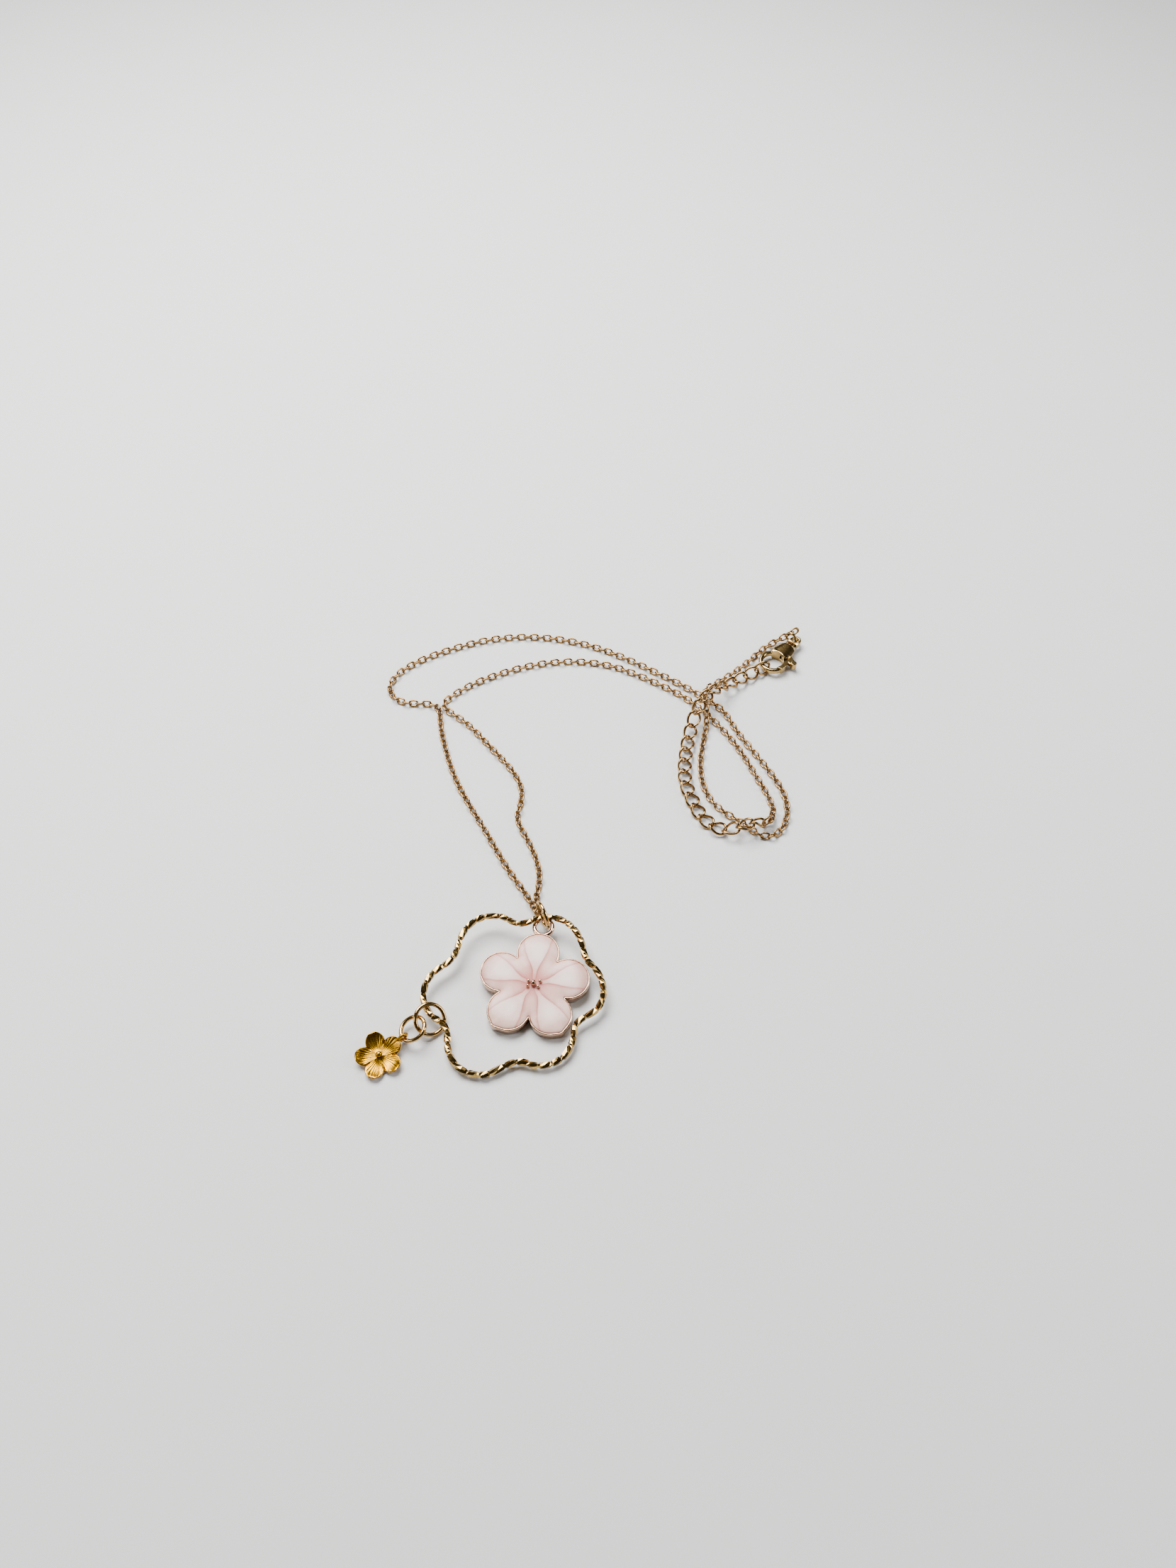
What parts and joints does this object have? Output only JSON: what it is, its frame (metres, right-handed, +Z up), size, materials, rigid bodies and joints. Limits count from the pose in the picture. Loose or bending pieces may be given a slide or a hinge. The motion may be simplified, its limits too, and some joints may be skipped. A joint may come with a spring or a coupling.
{
  "type": "flower pendant necklace",
  "caption": "Flower pendant necklace lying on a surface: a pink enamel blossom in a wavy wire flower frame, a small charm, fine gold chain, extender and clasp.",
  "frame": {"origin": "on the resting surface, under the middle of the whole necklace as it lies", "axes": "+Z up from the surface, +Y from the pendant towards the back of the necklace, +X to the right"},
  "size_m": [0.0952, 0.1104, 0.006],
  "materials": {
    "chain_gold": "polished gold plating, slightly aged",
    "extender_gold": "polished gold plating, slightly aged",
    "clasp_gold": "smooth polished gold plating",
    "frame_gold": "bright diamond-cut gold plating",
    "ring_gold": "polished gold plating",
    "charm_gold": "bright polished gold plating",
    "setting_gold": "polished pale rose gold plating",
    "pink_enamel": "glossy pearly enamel"
  },
  "bodies": {
    "necklace": {"blossom_enamel": "pink_enamel", "blossom_setting": "setting_gold", "chain_long": "chain_gold", "chain_short": "chain_gold", "charm_flower": "charm_gold", "charm_ring_lower": "ring_gold", "charm_ring_upper": "ring_gold", "clasp_body": "clasp_gold", "clasp_ring": "clasp_gold", "extender_link_01": "extender_gold", "extender_link_02": "extender_gold", "extender_link_03": "extender_gold", "extender_link_04": "extender_gold", "extender_link_05": "extender_gold", "extender_link_06": "extender_gold", "extender_link_07": "extender_gold", "extender_link_08": "extender_gold", "extender_link_09": "extender_gold", "extender_link_10": "extender_gold", "extender_link_11": "extender_gold", "extender_link_12": "extender_gold", "extender_link_13": "extender_gold", "extender_link_14": "extender_gold", "extender_link_15": "extender_gold", "extender_link_16": "extender_gold", "extender_link_17": "extender_gold", "extender_link_18": "extender_gold", "extender_link_19": "extender_gold", "extender_link_20": "extender_gold", "extender_link_21": "extender_gold", "extender_link_22": "extender_gold", "extender_ring": "extender_gold", "flower_frame": "frame_gold", "pendant_ring": "ring_gold"},
    "lever": {"clasp_lever": "clasp_gold"}
  },
  "joints": [
    {"name": "lever_hinge", "type": "hinge", "parent": "necklace", "child": "lever", "pos_m": [0.04359, 0.04719, 0.00135], "axis": [0, 0, -1], "range_deg": [0, 22], "stiffness_Nm_per_rad": 0.002}
  ]
}
